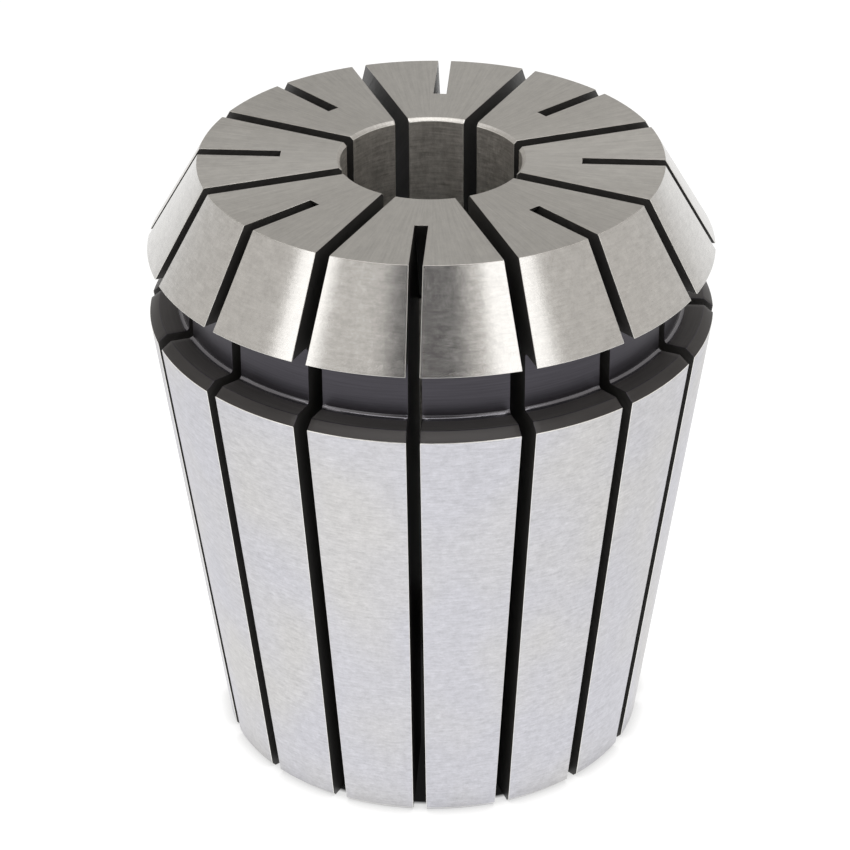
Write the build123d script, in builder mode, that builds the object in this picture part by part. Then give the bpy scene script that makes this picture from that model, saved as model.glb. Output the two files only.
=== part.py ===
from build123d import *
import os
from math import radians, tan

# ER 40 spring collet, 13 mm bore, standing on its rear end: one turned, ground and slotted piece of spring
# steel. The Z axis is the collet's axis, the origin is the centre of the rear face, and the nose face, where
# the tool shank enters, is at the top. All sizes are in millimetres and all angles in degrees.

# Turned form
overall_length = 46.0
largest_diameter = 41.0  # the flange's edge and the large end of the body taper
nose_face_diameter = 33.4
nose_half_angle = 30.0  # the cone that the clamping nut presses on
body_half_angle = 8.0  # the taper that the holder squeezes
rear_chamfer = 0.3

# Groove that the nut's ring hooks into
groove_width = 5.1  # from the flange's edge to the edge of the body taper
groove_floor_diameter = 36.3
groove_corner_radius = 0.3
shoulder_chamfer_width = 0.7  # across, where the groove's lower wall falls to the body's edge
shoulder_chamfer_height = 0.6

# Bore
bore_diameter = 13.0
bore_chamfer = 0.25

# Slots: half of them open at the nose and the other half at the rear, in turn round the collet
slots_per_end = 8
nose_slot_width = 1.05
rear_slot_width = 0.95
nose_web_diameter = 21.6  # what the rear slots leave whole on the nose face
rear_web_diameter = 20.0  # what the nose slots leave whole on the rear face
nose_web_length = 8.0  # of the uncut bore wall at the nose
rear_web_length = 8.0
slot_saw_diameter = 63.0  # its rim leaves the curved end of each slot
saw_overrun = 1.0  # how far the cut goes past the outside of the collet

# Heights and radii that follow from these
largest_radius = largest_diameter / 2
bore_radius = bore_diameter / 2
nose_face_radius = nose_face_diameter / 2
groove_floor_radius = groove_floor_diameter / 2
nose_cone_height = (largest_radius - nose_face_radius) / tan(radians(nose_half_angle))
flange_edge_height = overall_length - nose_cone_height
body_edge_height = flange_edge_height - groove_width
groove_bottom_height = body_edge_height + shoulder_chamfer_height
shoulder_radius = largest_radius - shoulder_chamfer_width
rear_edge_radius = largest_radius - (body_edge_height - rear_chamfer) * tan(radians(body_half_angle))
slot_pitch = 360 / slots_per_end


def slot_cutter(width, web_radius, web_length, web_face, open_face):
    """Make one slot: it cuts the whole wall at the open face, and stops outside the web at the other."""
    towards_web = 1 if web_face > open_face else -1
    web_end = web_face - towards_web * web_length
    beyond_web = web_face + towards_web * saw_overrun
    beyond_open = open_face - towards_web * saw_overrun
    clear_radius = largest_radius + saw_overrun
    depth_radius = bore_radius / 2  # in the hollow of the bore
    with BuildPart() as cutter:
        with BuildSketch(Plane.XZ):
            with BuildLine():
                saw_rim = RadiusArc(
                    (bore_radius, web_end), (web_radius, web_face), towards_web * slot_saw_diameter / 2
                )
                Polyline(
                    saw_rim @ 1,
                    (web_radius, beyond_web),
                    (clear_radius, beyond_web),
                    (clear_radius, beyond_open),
                    (depth_radius, beyond_open),
                    (depth_radius, web_end),
                    saw_rim @ 0,
                )
            make_face()
        extrude(amount=width / 2, both=True)
    return cutter.part


nose_slot = slot_cutter(nose_slot_width, rear_web_diameter / 2, rear_web_length, 0, overall_length)
rear_slot = slot_cutter(rear_slot_width, nose_web_diameter / 2, nose_web_length, overall_length, 0)

with BuildPart() as collet:
    with BuildSketch(Plane.XZ) as section:
        with BuildLine():
            Polyline(
                (bore_radius + bore_chamfer, overall_length),
                (nose_face_radius, overall_length),
                (largest_radius, flange_edge_height),
                (groove_floor_radius, flange_edge_height),
                (groove_floor_radius, groove_bottom_height),
                (shoulder_radius, groove_bottom_height),
                (largest_radius, body_edge_height),
                (rear_edge_radius, rear_chamfer),
                (rear_edge_radius - rear_chamfer, 0),
                (bore_radius + bore_chamfer, 0),
                (bore_radius, bore_chamfer),
                (bore_radius, overall_length - bore_chamfer),
                close=True,
            )
        make_face()
        groove_corners = [
            section.vertices().sort_by_distance((groove_floor_radius, height))[0]
            for height in (flange_edge_height, groove_bottom_height)
        ]
        fillet(groove_corners, groove_corner_radius)
    revolve(axis=Axis.Z)
    with PolarLocations(0, slots_per_end, start_angle=slot_pitch / 2):
        add(nose_slot, mode=Mode.SUBTRACT)
    with PolarLocations(0, slots_per_end):
        add(rear_slot, mode=Mode.SUBTRACT)

collet.part.label = "collet"
os.makedirs("parts", exist_ok=True)
export_step(collet.part, "parts/collet.step")
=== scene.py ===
"""An ER 40 spring collet, dressed for a studio picture.

The script is laid out as an add-on. Its settings sit in the 3D view's sidebar, and its operators build the
collet and the stage round the fixed CAD frame. Lengths are in metres, and the collet stands on its rear face
with the Z axis as its own axis.
"""

from collections import namedtuple
from math import asin, atan2, cos, hypot, pi, radians, sin, sqrt, tan

import bmesh
import bpy
from bpy.props import FloatProperty, FloatVectorProperty, IntProperty, PointerProperty
from mathutils import Matrix, Vector


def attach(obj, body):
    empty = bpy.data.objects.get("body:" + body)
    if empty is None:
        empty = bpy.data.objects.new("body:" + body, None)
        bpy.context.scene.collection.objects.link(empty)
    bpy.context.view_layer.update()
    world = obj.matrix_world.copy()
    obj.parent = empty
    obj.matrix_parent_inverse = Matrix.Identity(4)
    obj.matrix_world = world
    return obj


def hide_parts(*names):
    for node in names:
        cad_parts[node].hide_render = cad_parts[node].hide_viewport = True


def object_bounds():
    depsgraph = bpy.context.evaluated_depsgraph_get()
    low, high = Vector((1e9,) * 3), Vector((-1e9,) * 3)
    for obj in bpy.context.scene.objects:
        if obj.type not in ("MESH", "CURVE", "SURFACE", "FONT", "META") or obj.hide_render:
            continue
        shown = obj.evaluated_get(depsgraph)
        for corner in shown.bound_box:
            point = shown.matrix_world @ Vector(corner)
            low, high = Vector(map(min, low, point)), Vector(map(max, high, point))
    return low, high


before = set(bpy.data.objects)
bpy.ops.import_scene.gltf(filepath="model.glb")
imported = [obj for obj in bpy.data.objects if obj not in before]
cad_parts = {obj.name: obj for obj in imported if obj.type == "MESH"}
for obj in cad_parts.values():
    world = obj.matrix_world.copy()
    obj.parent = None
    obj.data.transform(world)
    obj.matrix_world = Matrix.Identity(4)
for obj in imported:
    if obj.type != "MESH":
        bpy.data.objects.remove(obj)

bl_info = {
    "name": "Spring collet",
    "version": (1, 0, 0),
    "blender": (4, 5, 0),
    "location": "3D View > Sidebar > Collet",
    "description": "Builds a slotted spring collet with ground and heat-blackened steel finishes",
    "category": "Object",
}

MILLIMETRE = 0.001
SENSOR_WIDTH = 36  # of the camera, in millimetres
ACROSS_LINES = 0.25  # a quarter turn of the grain, for lines that run round the collet
CAD_LOW, CAD_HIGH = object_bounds()
CAD_LENGTH = (CAD_HIGH.z - CAD_LOW.z) / MILLIMETRE
NODE = "collet"

# Finishes, in the order of the mesh's material slots
TAPER, CONE, FACE, GROOVE, CORNER, LEDGE, SHOULDER, SLOT, BORE, EDGE = range(10)


def mm(value):
    """Turn millimetres into Blender's metres."""
    return value * MILLIMETRE


def srgb(code):
    """Turn an sRGB hex colour into linear red, green and blue."""
    channels = [int(code[i : i + 2], 16) / 255 for i in (1, 3, 5)]
    return tuple(c / 12.92 if c <= 0.04045 else ((c + 0.055) / 1.055) ** 2.4 for c in channels)


def length(name, description, millimetres):
    """Make a length setting whose default is given in millimetres."""
    return FloatProperty(
        name=name, description=description, default=mm(millimetres), min=0, precision=5,
        unit="LENGTH", subtype="DISTANCE",
    )


def angle(name, description, degrees):
    """Make an angle setting whose default is given in degrees."""
    return FloatProperty(
        name=name, description=description, default=radians(degrees), unit="ROTATION", subtype="ANGLE"
    )


def colour(name, description, code):
    """Make a colour setting whose default is an sRGB hex code."""
    return FloatVectorProperty(
        name=name, description=description, default=srgb(code), min=0, max=1, size=3, subtype="COLOR"
    )


def brightness(name, description, level):
    """Make a brightness setting, where 1 shows as white."""
    return FloatProperty(name=name, description=description, default=level, min=0)


# Settings


class ColletSizes(bpy.types.PropertyGroup):
    """Sizes of the turned and slotted form."""

    overall_length: length("Length", "From the rear face to the nose face", CAD_LENGTH)
    largest_diameter: length("Largest diameter", "Of the flange's edge and the body's large end", 41.0)
    nose_face_diameter: length("Nose face", "Diameter of the flat face at the nose", 33.4)
    nose_half_angle: angle("Nose cone", "Half angle of the cone that the nut presses on", 30.0)
    body_half_angle: angle("Body taper", "Half angle of the taper that the holder squeezes", 8.0)
    rear_chamfer: length("Rear chamfer", "On the small end's outer edge", 0.3)
    groove_width: length("Groove width", "From the flange's edge to the body's edge", 5.1)
    groove_floor_diameter: length("Groove floor", "Diameter at the bottom of the nut's groove", 36.3)
    groove_corner_radius: length("Groove corners", "Radius left by the turning tool", 0.3)
    shoulder_chamfer_width: length("Shoulder width", "How far in the body's edge is turned away", 0.7)
    shoulder_chamfer_height: length("Shoulder height", "How far down the body's edge is turned away", 0.6)
    bore_diameter: length("Bore", "Diameter of the bore that grips the shank", 13.0)
    bore_chamfer: length("Bore chamfer", "At each mouth of the bore", 0.25)
    nose_slot_width: length("Nose slots", "Width of the slots that are open at the nose", 1.05)
    rear_slot_width: length("Rear slots", "Width of the slots that are open at the rear", 0.95)
    nose_web_diameter: length("Nose web", "What the rear slots leave whole on the nose face", 21.6)
    rear_web_diameter: length("Rear web", "What the nose slots leave whole on the rear face", 20.0)
    nose_web_length: length("Nose web length", "Of the uncut bore wall at the nose", 8.0)
    rear_web_length: length("Rear web length", "Of the uncut bore wall at the rear", 8.0)
    slot_saw_diameter: length("Slot saw", "Diameter of the saw whose rim ends each slot", 63.0)
    edge_break: length("Broken edges", "How far the stone takes each sharp edge back", 0.035)
    slots_per_end: IntProperty(
        name="Slots at each end", description="Slots open at one end", default=8, min=3
    )
    steps: IntProperty(name="Steps", description="Mesh steps round half a land", default=14, min=2)


class ColletFinish(bpy.types.PropertyGroup):
    """Colours of the steel as each surface was left."""

    taper: colour("Ground taper", "Cylindrically ground steel of the body", "#C1C1C7")
    taper_warm: colour("Warm ground taper", "The taper where the wheel ran warmer", "#C4C3C3")
    cone: colour("Ground cone", "Ground steel of the nose cone", "#CDCCCA")
    face: colour("Ground face", "Face-ground steel of the nose and the rear", "#C4C2BE")
    groove: colour("Blackened groove", "Turned steel, blackened in hardening", "#454349")
    # The corner's light colour is partly burnished steel and partly a painted highlight that brightens its
    # glint
    corner: colour("Groove's lower corner", "Where the tool's nose left the black glossy", "#757479")
    ledge: colour("Blackened ledge", "The groove's lower wall, where the black has worn brown", "#5C5A5A")
    shoulder: colour("Blackened shoulder", "The edge that falls from the ledge to the body", "#403E3E")
    slot: colour("Blackened slots", "Sawn steel, blackened in hardening", "#363534")
    bore: colour("Ground bore", "Internally ground steel", "#C8C5C0")
    # The edges' light colour is partly stoned steel and partly a painted highlight along every broken edge
    edge: colour("Bright edges", "Steel laid bare where edges are stoned", "#EAE9E5")


class StudioSettings(bpy.types.PropertyGroup):
    """Camera, table and lights. Azimuths are counted from the camera's side, to the right."""

    camera_azimuth: angle("Azimuth", "Of the camera, round the collet from the front", 3.76)
    camera_elevation: angle("Elevation", "Of the camera, above the table", 30.12)
    camera_roll: angle("Roll", "Of the camera about its own axis", -0.26)
    camera_distance: length("Distance", "From the camera to the point that it looks at", 260.65)
    aim_height: length("Aim height", "Height on the collet's axis that the camera looks at", 23.92)
    aim_side: FloatProperty(
        name="Aim to the side", description="How far right of the axis the camera looks",
        default=mm(-0.514), precision=5, unit="LENGTH", subtype="DISTANCE",
    )
    focal_length: FloatProperty(
        name="Lens", description="Focal length", default=148.3, unit="CAMERA"
    )
    table: colour("Table", "Opal acrylic table top", "#7A7A7A")
    # The table's glow is painted light that stands in for a lamp below it, brightest over the lamp's place
    table_glow: brightness("Table glow", "Light through the table, above the lamp", 1.15)
    table_edge_glow: brightness("Table edge glow", "Light through the table far from the lamp", 0.88)
    contact_shade: brightness("Contact shade", "Share of the glow that is lost where the collet stands", 0.4)
    front_wall: colour("Front wall", "Studio wall on the camera's side", "#D9D5D0")
    back_wall: colour("Back wall", "Studio wall behind the collet", "#D1CFCC")
    left_corner: brightness("Left corner", "Share of the back wall's light that its left end has", 0.82)
    camera_side: colour("Camera's side", "Dark curtain behind the camera", "#524F4F")
    left_light: brightness("Left softbox", "Of its cloth", 1.53)
    right_light: brightness("Right softbox", "Of its cloth", 1.42)
    top_light: brightness("Top softbox", "Of its cloth", 2.0)


# The turned section


class Section:
    """The collet's half section: rows of (radius, height), and a finish for the stretch after each."""

    def __init__(self, sizes):
        self.sizes = sizes
        self.rows = []
        self.finishes = []
        self.marks = {}
        self.draw()

    def add(self, radius, height, finish, mark=None):
        """Add a corner of the section, and note its row under a name where one is given."""
        if mark:
            self.marks[mark] = len(self.rows)
        self.rows.append((radius, height))
        self.finishes.append(finish)

    def add_corner(self, radius, height, start, finish):
        """Round an inner corner of the groove: a quarter turn from the angle start, against the clock."""
        corner = self.sizes.groove_corner_radius
        steps = 6  # enough for a corner this small
        for step in range(steps + 1):
            turn = start + step / steps * pi / 2
            self.add(radius + corner * cos(turn), height + corner * sin(turn), finish)

    def draw(self):
        """Go round the section from the bore's edge on the nose face, outwards, down and back up the bore."""
        s = self.sizes
        largest = s.largest_diameter / 2
        nose_face = s.nose_face_diameter / 2
        floor = s.groove_floor_diameter / 2
        bore = s.bore_diameter / 2
        corner = s.groove_corner_radius
        top = s.overall_length
        flange_edge = top - (largest - nose_face) / tan(s.nose_half_angle)
        body_edge = flange_edge - s.groove_width
        groove_bottom = body_edge + s.shoulder_chamfer_height
        rear_edge = largest - (body_edge - s.rear_chamfer) * tan(s.body_half_angle)
        self.body_edge, self.flange_edge = body_edge, flange_edge
        self.foot_radius = rear_edge - s.rear_chamfer
        self.add(bore + s.bore_chamfer, top, FACE)
        self.add(s.nose_web_diameter / 2, top, FACE, "nose web face")
        self.add(nose_face, top, CONE)
        self.add(largest, flange_edge, GROOVE)
        self.add_corner(floor + corner, flange_edge - corner, pi / 2, GROOVE)
        self.add_corner(floor + corner, groove_bottom + corner, pi, CORNER)
        self.finishes[-1] = LEDGE
        self.add(largest - s.shoulder_chamfer_width, groove_bottom, SHOULDER)
        self.add(largest, body_edge, TAPER)
        self.add(rear_edge, s.rear_chamfer, TAPER)
        self.add(self.foot_radius, 0, FACE)
        self.add(s.rear_web_diameter / 2, 0, FACE, "rear web face")
        self.add(bore + s.bore_chamfer, 0, FACE)
        self.add(bore, s.bore_chamfer, BORE)
        self.add(bore, s.rear_web_length, BORE, "rear web bore")
        self.add(bore, top - s.nose_web_length, BORE, "nose web bore")
        self.add(bore, top - s.bore_chamfer, FACE)

    def span(self, first, last):
        """Row numbers from one marked row to another, going round the section."""
        row, end = self.marks[first], self.marks[last]
        rows = [row]
        while row != end:
            row = (row + 1) % len(self.rows)
            rows.append(row)
        return rows

    def saw_rim(self, start, end, steps=16):
        """Points between two marked rows on the arc that the saw's rim leaves in a web."""
        (r0, z0), (r1, z1) = self.rows[self.marks[start]], self.rows[self.marks[end]]
        radius = self.sizes.slot_saw_diameter / 2
        half = hypot(r1 - r0, z1 - z0) / 2
        reach = sqrt(radius * radius - half * half)
        # The saw's centre lies outside the collet, square to the middle of the chord
        side = 1 if (z1 - z0) > 0 else -1
        centre_r = (r0 + r1) / 2 + side * reach * (z1 - z0) / (2 * half)
        centre_z = (z0 + z1) / 2 - side * reach * (r1 - r0) / (2 * half)
        first = atan2(z0 - centre_z, r0 - centre_r)
        sweep = (atan2(z1 - centre_z, r1 - centre_r) - first + pi) % (2 * pi) - pi
        turns = [first + sweep * step / steps for step in range(1, steps)]
        return [(centre_r + radius * cos(turn), centre_z + radius * sin(turn)) for turn in turns]


class HalfLand:
    """The stretch from the middle of a rear slot to the middle of the next nose slot."""

    def __init__(self, mesh, section):
        self.mesh = mesh
        self.section = section
        self.sizes = section.sizes
        self.half_pitch = pi / self.sizes.slots_per_end
        self.last = self.sizes.steps + 2
        self.rows = [self.row(*point) for point in section.rows]

    def row(self, radius, height):
        """Vertices of one height and radius: both slots' middles, both walls and the steps between."""
        rear_wall = asin(self.sizes.rear_slot_width / 2 / radius)
        nose_wall = self.half_pitch - asin(self.sizes.nose_slot_width / 2 / radius)
        steps = self.sizes.steps
        turns = [rear_wall + (nose_wall - rear_wall) * step / steps for step in range(steps + 1)]
        turns = [0, *turns, self.half_pitch]
        return [self.mesh.verts.new((radius * cos(t), radius * sin(t), height)) for t in turns]

    def face(self, corners, finish):
        """Add one face with its finish."""
        made = self.mesh.faces.new(corners)
        made.material_index = finish

    def strip(self, row, column):
        """One quad of the turned skin, after the given row and column."""
        upper, lower = self.rows[row], self.rows[(row + 1) % len(self.rows)]
        corners = (upper[column], upper[column + 1], lower[column + 1], lower[column])
        self.face(corners, self.section.finishes[row])

    def build(self):
        """Make the skin, the webs, the slot walls and the slots' curved ends."""
        for row in range(len(self.rows)):
            for column in range(1, self.last - 1):
                self.strip(row, column)
        self.slot("nose web bore", "nose web face", wall=1, middle=0)
        self.slot("rear web face", "rear web bore", wall=self.last - 1, middle=self.last)

    def slot(self, web_start, web_end, wall, middle):
        """Close one slot: the web's skin, the arc that the saw leaves and the flat wall."""
        web = self.section.span(web_start, web_end)
        for row in web[:-1]:
            self.strip(row, min(wall, middle))
        rim_points = self.section.saw_rim(web_start, web_end)
        rim = [self.row(*point) for point in rim_points]
        ends = [self.rows[web[0]], *rim, self.rows[web[-1]]]
        for before, after in zip(ends, ends[1:]):
            self.face((before[wall], before[middle], after[middle], after[wall]), SLOT)
        around = self.section.span(web_end, web_start)
        outline = [self.rows[row][wall] for row in around] + [points[wall] for points in rim]
        self.face(outline, SLOT)


def collet_mesh(sizes):
    """Build the whole collet from half lands, then break its sharp edges."""
    section = Section(sizes)
    solid = bmesh.new()
    HalfLand(solid, section).build()
    whole = list(solid.verts) + list(solid.edges) + list(solid.faces)
    bmesh.ops.mirror(solid, geom=whole, matrix=Matrix.Identity(4), axis="Y", merge_dist=0)
    loose = [vertex for vertex in solid.verts if not vertex.link_faces]
    bmesh.ops.delete(solid, geom=loose, context="VERTS")
    land = list(solid.verts) + list(solid.edges) + list(solid.faces)
    for copy in range(1, sizes.slots_per_end):
        turned = bmesh.ops.duplicate(solid, geom=land)["geom"]
        vertices = [item for item in turned if isinstance(item, bmesh.types.BMVert)]
        turn = Matrix.Rotation(2 * pi * copy / sizes.slots_per_end, 3, "Z")
        bmesh.ops.rotate(solid, cent=(0, 0, 0), matrix=turn, verts=vertices)
    seam_gap = mm(0.002)
    bmesh.ops.remove_doubles(solid, verts=solid.verts, dist=seam_gap)
    bmesh.ops.recalc_face_normals(solid, faces=solid.faces)
    break_edges(solid, section)
    mesh = bpy.data.meshes.new(NODE)
    solid.to_mesh(mesh)
    solid.free()
    mesh.shade_smooth()
    return mesh


def break_edges(solid, section):
    """Bevel the sharp outer edges and leave the inner corners crisp.

    The new faces are bright, partly as a painted highlight, apart from those in the blackened groove and
    along the nose and rear faces.
    """
    sharp_angle = radians(25)  # over a step of the groove's round corners, and under every real edge
    sharp = [edge for edge in solid.edges if edge.calc_face_angle() > sharp_angle]
    broken = []
    for edge in sharp:
        finishes = {face.material_index for face in edge.link_faces}
        if edge.is_convex and finishes != {SLOT}:
            broken.append(edge)
        else:
            edge.smooth = False
    width = section.sizes.edge_break
    bevel = bmesh.ops.bevel(
        solid, geom=broken, offset=width, offset_type="OFFSET", segments=2, profile=0.5, affect="EDGES",
        clamp_overlap=False, material=EDGE, loop_slide=True,
    )
    top = section.sizes.overall_length
    clear = 2 * width  # so that the groove's own two edges stay bright
    mid_wall_radius = (section.sizes.bore_diameter + section.sizes.groove_floor_diameter) / 4
    for face in bevel["faces"]:
        centre = face.calc_center_median()
        outside = hypot(centre.x, centre.y) > mid_wall_radius
        if outside and section.body_edge + clear < centre.z < section.flange_edge - clear:
            face.material_index = GROOVE
        elif not width < centre.z < top - width:
            face.material_index = FACE


# Materials

# Where the Mix node keeps the sockets that share the names A, B and Result
NUMBER_A, NUMBER_B, COLOUR_A, COLOUR_B, COLOUR_RESULT = 2, 3, 6, 7, 2

# The stretch of its range that a noise mostly keeps to
USUAL_NOISE = (0.25, 0.75)

Place = namedtuple("Place", "outwards out up")


def node(tree, kind, inputs=(), output=0, **settings):
    """Add a node with its settings, set or link its inputs and return one output.

    The inputs are listed in the node's own order, or given by name or place in a dictionary.
    """
    made = tree.nodes.new(kind)
    for name, value in settings.items():
        setattr(made, name, value)
    for name, value in inputs.items() if isinstance(inputs, dict) else enumerate(inputs):
        socket = made.inputs[name]
        if isinstance(value, bpy.types.NodeSocket):
            tree.links.new(value, socket)
        else:
            socket.default_value = (*value, 1.0) if socket.type == "RGBA" else value
    return made.outputs[output] if made.outputs else None


def turned_place(tree):
    """Give the place on a turned surface: the way out as a unit vector, then out and up in millimetres."""
    spot = node(tree, "ShaderNodeTexCoord", output="Object")
    in_mm = node(tree, "ShaderNodeVectorMath", {0: spot, "Scale": 1 / MILLIMETRE}, operation="SCALE")
    flat = node(tree, "ShaderNodeVectorMath", [in_mm, (1, 1, 0)], operation="MULTIPLY")
    outwards = node(tree, "ShaderNodeVectorMath", [flat], operation="NORMALIZE")
    out = node(tree, "ShaderNodeVectorMath", [flat], "Value", operation="LENGTH")
    up = node(tree, "ShaderNodeSeparateXYZ", [in_mm], "Z")
    return Place(outwards, out, up)


def streaks(tree, place, across, around, width, detail=3.0, coarseness=0.6, seed=0.0):
    """Noise drawn out round the collet.

    The width of a mark is counted in millimetres along the value across. Its length round the collet is what
    around says at the typical radius, and less nearer the axis.
    """
    typical_radius = 18.0  # in millimetres
    stretch = {0: place.outwards, "Scale": typical_radius / around}
    turn = node(tree, "ShaderNodeVectorMath", stretch, operation="SCALE")
    steps = node(tree, "ShaderNodeMath", [across, width], operation="DIVIDE")
    rise = node(tree, "ShaderNodeCombineXYZ", {"Z": steps})
    point = node(tree, "ShaderNodeVectorMath", [turn, rise], operation="ADD")
    noise = {"Vector": point, "W": seed, "Scale": 1.0, "Detail": detail, "Roughness": coarseness}
    return node(tree, "ShaderNodeTexNoise", noise, "Fac", noise_dimensions="4D")


def new_material(name):
    """Start a material with an empty tree."""
    material = bpy.data.materials.new(name)
    material.use_nodes = True
    material.node_tree.nodes.clear()
    return material, material.node_tree


def steel(tree, base, marks, swing, roughness, bump, grain=0.0, rotation=0.0, metallic=1.0):
    """Finish a steel material whose colour, roughness and relief follow its marks.

    The marks darken and brighten the base by the share swing, and carry the roughness from its first number
    to its second. Highlights are drawn out across the grain.
    """
    shade = node(tree, "ShaderNodeMapRange", [marks, *USUAL_NOISE, 1 - swing, 1 + swing])
    tint = {"Factor": 1.0, COLOUR_A: base, COLOUR_B: shade}
    mark_depth = mm(0.01)
    relief = {"Height": marks, "Strength": bump, "Distance": mark_depth}
    inputs = {
        "Base Color": node(
            tree, "ShaderNodeMix", tint, COLOUR_RESULT, data_type="RGBA", blend_type="MULTIPLY"
        ),
        "Metallic": metallic,
        "Roughness": node(tree, "ShaderNodeMapRange", [marks, *USUAL_NOISE, *roughness]),
        "Normal": node(tree, "ShaderNodeBump", relief),
        "Anisotropic": grain,
        "Anisotropic Rotation": rotation,
    }
    if grain:
        inputs["Tangent"] = node(tree, "ShaderNodeTangent", direction_type="RADIAL", axis="Z")
    shader = node(tree, "ShaderNodeBsdfPrincipled", inputs)
    node(tree, "ShaderNodeOutputMaterial", {"Surface": shader})


def ground_taper_steel(finish):
    """Spring steel, hardened and ground between centres.

    The wheel leaves fine lines round the taper, a mottled grain and faint warm clouds, so it looks pale, even
    and satin. The real lines are about 0.02 mm apart, and are drawn eight times as coarse to show.
    """
    material, tree = new_material("ground_taper_steel")
    place = turned_place(tree)
    lines = streaks(tree, place, place.up, around=1.0, width=0.16, detail=4.0, coarseness=0.7)
    mottle = streaks(tree, place, place.up, around=0.7, width=0.5, detail=4.0, coarseness=0.9, seed=7.0)
    clouds = streaks(tree, place, place.up, around=8.0, width=11.0, detail=1.0, seed=11.0)
    marks = node(tree, "ShaderNodeMix", {"Factor": 0.55, NUMBER_A: lines, NUMBER_B: mottle})
    cloud_starts, cloud_full = 0.4, 0.65
    warmth = node(tree, "ShaderNodeMapRange", [clouds, cloud_starts, cloud_full, 0.0, 1.0])
    pair = {"Factor": warmth, COLOUR_A: finish.taper, COLOUR_B: finish.taper_warm}
    base = node(tree, "ShaderNodeMix", pair, COLOUR_RESULT, data_type="RGBA")
    steel(
        tree, base, marks, swing=0.34, roughness=(0.34, 0.50), bump=0.8, grain=0.5, rotation=ACROSS_LINES
    )
    return material


def ground_cone_steel(finish):
    """Spring steel, hardened and ground to the nut's angle.

    It is smoother than the body, so lights show in it as upright bands. The lines round it are about 0.02 mm
    apart on a real one, and are drawn over seven times as coarse to show.
    """
    material, tree = new_material("ground_cone_steel")
    place = turned_place(tree)
    lines = streaks(tree, place, place.up, around=1.2, width=0.15)
    mottle = streaks(tree, place, place.up, around=0.7, width=0.7, detail=4.0, coarseness=0.9, seed=3.0)
    marks = node(tree, "ShaderNodeMix", {"Factor": 0.65, NUMBER_A: lines, NUMBER_B: mottle})
    steel(
        tree, finish.cone, marks,
        swing=0.24, roughness=(0.19, 0.27), bump=0.5, grain=0.75, rotation=ACROSS_LINES,
    )
    return material


def ground_face_steel(finish):
    """Spring steel, ground flat across the face with the rim of a cup wheel.

    The lines run out from the bore, so the face has a fine radial streak, and its brightness changes a little
    on the way round. The real lines are about 0.03 mm apart, and are drawn over six times as coarse to show.
    """
    material, tree = new_material("ground_face_steel")
    place = turned_place(tree)
    lines = streaks(tree, place, place.out, around=0.2, width=4.0)
    mottle = streaks(tree, place, place.out, around=0.9, width=1.2, detail=4.0, coarseness=0.85, seed=5.0)
    marks = node(tree, "ShaderNodeMix", {"Factor": 0.5, NUMBER_A: lines, NUMBER_B: mottle})
    steel(tree, finish.face, marks, swing=0.23, roughness=(0.35, 0.47), bump=0.4, grain=0.8)
    return material


def blackened_steel(name, base, metallic, roughness, around=5.0, width=0.12):
    """Spring steel, cut and left with the blue-black oxide of hardening.

    The tool's lines show through a thin, slightly glossy scale. Unless told otherwise they are the turning
    tool's, 0.12 mm apart as a fine feed leaves them.
    """
    material, tree = new_material(name)
    place = turned_place(tree)
    along = node(tree, "ShaderNodeMath", [place.up, place.out], operation="ADD")
    lines = streaks(tree, place, along, around, width)
    steel(tree, base, lines, swing=0.25, roughness=roughness, bump=0.3, metallic=metallic)
    return material


def blackened_groove_steel(finish):
    """Blackened steel of the groove, where the turned lines keep their blue."""
    return blackened_steel("blackened_groove_steel", finish.groove, metallic=0.8, roughness=(0.29, 0.43))


def burnished_corner_with_painted_glint(finish):
    """Blackened steel of the groove's lower corner, burnished by the tool and made lighter, partly as a
    painted highlight, so it catches a thin glint.
    """
    return blackened_steel("burnished_corner_with_painted_glint", finish.corner, metallic=0.9, roughness=(0.13, 0.27))


def blackened_ledge_steel(finish):
    """Blackened steel of the groove's lower wall, worn brown and duller."""
    return blackened_steel("blackened_ledge_steel", finish.ledge, metallic=0.6, roughness=(0.43, 0.57))


def blackened_shoulder_steel(finish):
    """Blackened steel of the shoulder, rubbed where the nut's ring rides over it."""
    return blackened_steel("blackened_shoulder_steel", finish.shoulder, metallic=0.6, roughness=(0.38, 0.52))


def blackened_slot_steel(finish):
    """Blackened steel of the sawn slots, whose thick oxide isn't metallic, so they look black."""
    return blackened_steel(
        "blackened_slot_steel", finish.slot, metallic=0.0, roughness=(0.35, 0.47), around=2.0, width=0.3
    )


def ground_bore_steel(finish):
    """Spring steel, ground inside to size.

    Fine lines run round the bore under a dull mottle, so it shows no clear reflection. The real lines are
    about 0.02 mm apart, and are drawn eight times as coarse to show.
    """
    material, tree = new_material("ground_bore_steel")
    place = turned_place(tree)
    lines = streaks(tree, place, place.up, around=4.0, width=0.16)
    mottle = streaks(tree, place, place.up, around=1.0, width=0.7, detail=4.0, coarseness=0.8, seed=9.0)
    marks = node(tree, "ShaderNodeMix", {"Factor": 0.5, NUMBER_A: lines, NUMBER_B: mottle})
    steel(tree, finish.bore, marks, swing=0.5, roughness=(0.43, 0.62), bump=0.3)
    return material


def stoned_edge_with_painted_highlight(finish):
    """Bare steel along edges broken with a stone: smoother than the ground faces beside it, and lighter,
    partly as stoned steel and partly as a painted highlight.
    """
    material, tree = new_material("stoned_edge_with_painted_highlight")
    place = turned_place(tree)
    along = node(tree, "ShaderNodeMath", [place.up, place.out], operation="ADD")
    nicks = streaks(tree, place, along, around=0.4, width=0.4, seed=2.0)
    steel(tree, finish.edge, nicks, swing=0.15, roughness=(0.27, 0.33), bump=0.1)
    return material


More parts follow.
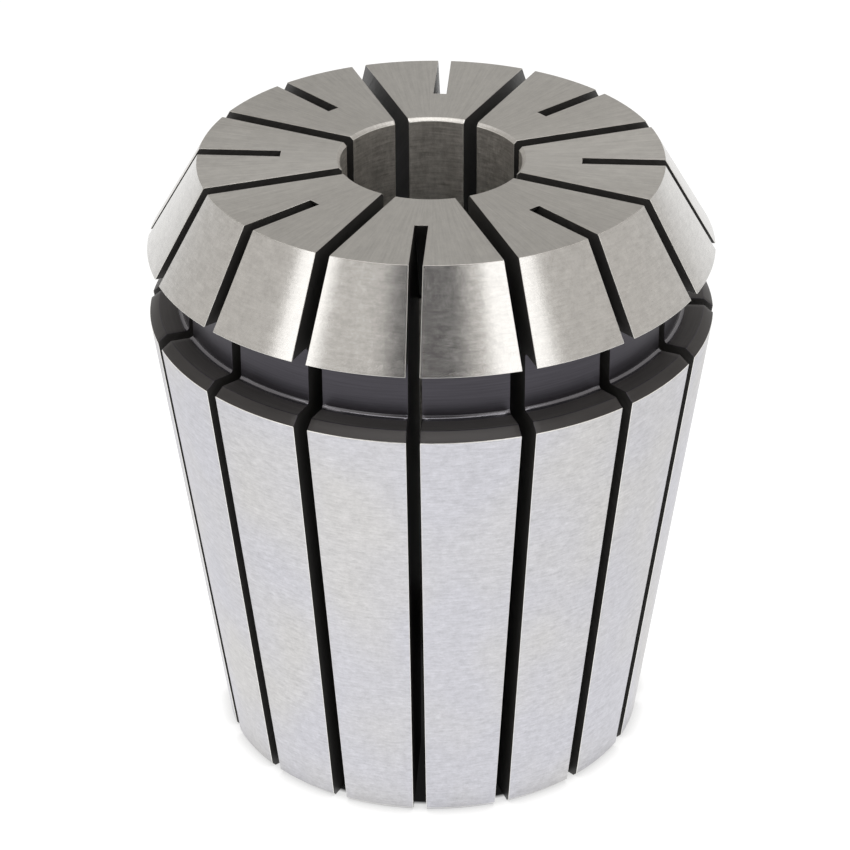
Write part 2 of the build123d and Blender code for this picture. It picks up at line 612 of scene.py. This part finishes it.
def opal_acrylic(studio, shade_disc_radius):
    """Opal acrylic sheet, cast matt, with a painted glow that stands in for a lamp below it, in front of the
    collet.

    It shows pure white, apart from a thin painted shade where something stands on it and a dark disc of
    painted shade under the collet, where the collet keeps light off it, so nearly no light comes up the bore.
    """
    material, tree = new_material("opal_acrylic")
    reach_of_shade, reach_of_glow, shade_disc_edge = mm(1.6), mm(130), mm(0.2)
    open_air_at_contact = 0.4
    shade_disc_leak = 0.012  # the share of the glow that the disc of painted shade lets through
    # The glow is painted: it is brightest over the place of a lamp under the table and fades farther off
    glow_centre_azimuth, glow_centre_distance = studio.camera_azimuth - radians(15), mm(55)
    lamp = (glow_centre_distance * sin(glow_centre_azimuth), -glow_centre_distance * cos(glow_centre_azimuth), 0)
    spot = node(tree, "ShaderNodeTexCoord", output="Object")
    from_glow_centre = node(tree, "ShaderNodeVectorMath", [spot, lamp], "Value", operation="DISTANCE")
    glows = (studio.table_glow, studio.table_edge_glow)
    glow = node(tree, "ShaderNodeMapRange", [from_glow_centre, 0.0, reach_of_glow, *glows])
    # The thin shade where the collet stands is painted: ambient occlusion dims the glow there
    open_air = node(tree, "ShaderNodeAmbientOcclusion", {"Distance": reach_of_shade}, "AO", samples=8)
    shades = (1 - studio.contact_shade, 1.0)
    unshaded = node(tree, "ShaderNodeMapRange", [open_air, open_air_at_contact, 1.0, *shades])
    lit = node(tree, "ShaderNodeMath", [glow, unshaded], operation="MULTIPLY")
    from_axis = node(tree, "ShaderNodeVectorMath", [spot], "Value", operation="LENGTH")
    edges = (shade_disc_radius - shade_disc_edge, shade_disc_radius + shade_disc_edge)
    # The disc of painted shade under the collet darkens both the glow and the table's colour
    past_shade_disc = node(tree, "ShaderNodeMapRange", [from_axis, *edges, shade_disc_leak, 1.0])
    tint = {"Factor": 1.0, COLOUR_A: studio.table, COLOUR_B: past_shade_disc}
    inputs = {
        "Base Color": node(
            tree, "ShaderNodeMix", tint, COLOUR_RESULT, data_type="RGBA", blend_type="MULTIPLY"
        ),
        "Roughness": 0.9,
        "Emission Color": (1.0, 1.0, 1.0),
        "Emission Strength": node(tree, "ShaderNodeMath", [lit, past_shade_disc], operation="MULTIPLY"),
    }
    shader = node(tree, "ShaderNodeBsdfPrincipled", inputs)
    node(tree, "ShaderNodeOutputMaterial", {"Surface": shader})
    return material


def studio_walls(studio):
    """A white room that is dimmer behind the collet, with a dark curtain behind the camera.

    Its bearings are counted from the camera, to the right.
    """
    world = bpy.data.worlds.new("studio_walls")
    world.use_nodes = True
    tree = world.node_tree
    tree.nodes.clear()
    back_wall_starts, back_wall_full = radians(100), radians(165)
    corner_starts, corner_full = radians(-130), radians(-155)
    curtain_middle, curtain_edge, curtain_end = radians(-2), radians(13), radians(21)
    curtain_rail, curtain_top = sin(radians(48)), sin(radians(54))
    away = node(tree, "ShaderNodeTexCoord", output="Generated")
    to_camera = (sin(studio.camera_azimuth), -cos(studio.camera_azimuth), 0)
    to_right = (cos(studio.camera_azimuth), sin(studio.camera_azimuth), 0)
    front = node(tree, "ShaderNodeVectorMath", [away, to_camera], "Value", operation="DOT_PRODUCT")
    right = node(tree, "ShaderNodeVectorMath", [away, to_right], "Value", operation="DOT_PRODUCT")
    height = node(tree, "ShaderNodeSeparateXYZ", [away], "Z")
    turn = node(tree, "ShaderNodeMath", [right, front], operation="ARCTAN2")
    either_side = node(tree, "ShaderNodeMath", [turn], operation="ABSOLUTE")
    behind = node(tree, "ShaderNodeMapRange", [either_side, back_wall_starts, back_wall_full, 0.0, 1.0])
    corner_light = [turn, corner_starts, corner_full, 1.0, studio.left_corner]
    in_corner = node(tree, "ShaderNodeMapRange", corner_light)
    pair = {"Factor": behind, COLOUR_A: studio.front_wall, COLOUR_B: studio.back_wall}
    walls = node(tree, "ShaderNodeMix", pair, COLOUR_RESULT, data_type="RGBA")
    past_middle = node(tree, "ShaderNodeMath", [turn, curtain_middle], operation="SUBTRACT")
    from_middle = node(tree, "ShaderNodeMath", [past_middle], operation="ABSOLUTE")
    near_middle = node(tree, "ShaderNodeMapRange", [from_middle, curtain_edge, curtain_end, 1.0, 0.0])
    under_rail = node(tree, "ShaderNodeMapRange", [height, curtain_rail, curtain_top, 1.0, 0.0])
    curtain = node(tree, "ShaderNodeMath", [near_middle, under_rail], operation="MULTIPLY")
    pair = {"Factor": curtain, COLOUR_A: walls, COLOUR_B: studio.camera_side}
    light = node(tree, "ShaderNodeMix", pair, COLOUR_RESULT, data_type="RGBA")
    background = node(tree, "ShaderNodeBackground", {"Color": light, "Strength": in_corner})
    node(tree, "ShaderNodeOutputWorld", {"Surface": background})
    return world


# Operators


class COLLET_OT_add_collet(bpy.types.Operator):
    """Build the collet's mesh with its finishes and stand it in the place of the CAD solid."""

    bl_idname = "collet.add_collet"
    bl_label = "Add collet"

    def execute(self, context):
        sizes, finish = context.scene.collet_sizes, context.scene.collet_finish
        collet = bpy.data.objects.new("spring_collet", collet_mesh(sizes))
        context.collection.objects.link(collet)
        makers = (
            ground_taper_steel, ground_cone_steel, ground_face_steel, blackened_groove_steel,
            burnished_corner_with_painted_glint, blackened_ledge_steel, blackened_shoulder_steel, blackened_slot_steel,
            ground_bore_steel, stoned_edge_with_painted_highlight,
        )
        for maker in makers:
            collet.data.materials.append(maker(finish))
        normals = collet.modifiers.new("Flat faces", "WEIGHTED_NORMAL")
        normals.mode = "FACE_AREA"
        normals.keep_sharp = True
        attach(collet, "root")
        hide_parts(NODE)
        return {"FINISHED"}


class COLLET_OT_add_stage(bpy.types.Operator):
    """Add the table, the soft lights and the camera."""

    bl_idname = "collet.add_stage"
    bl_label = "Add stage"

    def execute(self, context):
        studio = context.scene.collet_studio
        self.add_table(context, studio)
        self.add_lights(context, studio)
        self.add_camera(context, studio)
        return {"FINISHED"}

    def add_table(self, context, studio):
        """Lay the table top with its painted glow under the collet, with its disc of painted shade set in
        from the collet's edge.
        """
        mesh = bpy.data.meshes.new("table")
        reach = 3.0  # in metres, well past the camera's view
        shade_disc_inset = mm(0.7)
        corners = [(-reach, -reach, 0), (reach, -reach, 0), (reach, reach, 0), (-reach, reach, 0)]
        mesh.from_pydata(corners, [], [(0, 1, 2, 3)])
        shade_disc_radius = Section(context.scene.collet_sizes).foot_radius - shade_disc_inset
        mesh.materials.append(opal_acrylic(studio, shade_disc_radius))
        table = bpy.data.objects.new("table", mesh)
        context.collection.objects.link(table)

    def add_lights(self, context, studio):
        """Hang the room and its three softboxes, each with its azimuth and elevation in degrees."""
        context.scene.world = studio_walls(studio)
        left, right, top = (-55, 25), (37, 28), (0, 66)
        self.softbox(context, studio, "left_softbox", studio.left_light, left, size=(mm(265), mm(260)))
        self.softbox(context, studio, "right_softbox", studio.right_light, right, size=(mm(365), mm(260)))
        self.softbox(context, studio, "top_softbox", studio.top_light, top, size=(mm(900), mm(450)))

    def softbox(self, context, studio, name, level, direction, size):
        """Place a soft light that faces the collet, at an azimuth and elevation in degrees."""
        light = bpy.data.lights.new(name, "AREA")
        light.shape = "RECTANGLE"
        light.size, light.size_y = size
        light.energy = level * pi * light.size * light.size_y
        lamp = bpy.data.objects.new(name, light)
        context.collection.objects.link(lamp)
        side, rise = studio.camera_azimuth + radians(direction[0]), radians(direction[1])
        away = Vector((sin(side) * cos(rise), -cos(side) * cos(rise), sin(rise)))
        distance = mm(900)
        lamp.location = away * distance + Vector((0, 0, studio.aim_height))
        lamp.rotation_euler = away.to_track_quat("Z", "Y").to_euler()

    def add_camera(self, context, studio):
        """Aim the camera at the collet, a little off its axis."""
        camera = bpy.data.objects.new("camera", bpy.data.cameras.new("camera"))
        context.collection.objects.link(camera)
        side, rise = studio.camera_azimuth, studio.camera_elevation
        away = Vector((sin(side) * cos(rise), -cos(side) * cos(rise), sin(rise)))
        right = Vector((cos(side), sin(side), 0))
        aim = right * studio.aim_side + Vector((0, 0, studio.aim_height))
        camera.location = aim + away * studio.camera_distance
        upright = away.to_track_quat("Z", "Y").to_matrix()
        camera.rotation_euler = (upright @ Matrix.Rotation(studio.camera_roll, 3, "Z")).to_euler()
        camera.data.sensor_width = SENSOR_WIDTH
        camera.data.lens = studio.focal_length
        camera.data.clip_start = mm(10)
        context.scene.camera = camera
        context.scene.view_settings.view_transform = "Standard"


class COLLET_PT_panel(bpy.types.Panel):
    """Sidebar panel with the collet's settings and operators."""

    bl_label = "Collet"
    bl_space_type = "VIEW_3D"
    bl_region_type = "UI"
    bl_category = "Collet"

    def draw(self, context):
        scene = context.scene
        for group in (scene.collet_sizes, scene.collet_finish, scene.collet_studio):
            box = self.layout.box()
            for setting in group.bl_rna.properties.keys():
                if setting not in ("rna_type", "name"):
                    box.prop(group, setting)
        for operator in OPERATORS:
            self.layout.operator(operator.bl_idname)


OPERATORS = (COLLET_OT_add_collet, COLLET_OT_add_stage)
CLASSES = (ColletSizes, ColletFinish, StudioSettings, *OPERATORS, COLLET_PT_panel)


def register():
    """Register the classes and give each scene the collet's settings."""
    for each in CLASSES:
        bpy.utils.register_class(each)
    bpy.types.Scene.collet_sizes = PointerProperty(type=ColletSizes)
    bpy.types.Scene.collet_finish = PointerProperty(type=ColletFinish)
    bpy.types.Scene.collet_studio = PointerProperty(type=StudioSettings)


def unregister():
    """Take the settings and the classes away again."""
    del bpy.types.Scene.collet_sizes, bpy.types.Scene.collet_finish, bpy.types.Scene.collet_studio
    for each in reversed(CLASSES):
        bpy.utils.unregister_class(each)


def main():
    """Build everything."""
    register()
    bpy.ops.collet.add_collet()
    bpy.ops.collet.add_stage()


if __name__ == "__main__":
    main()
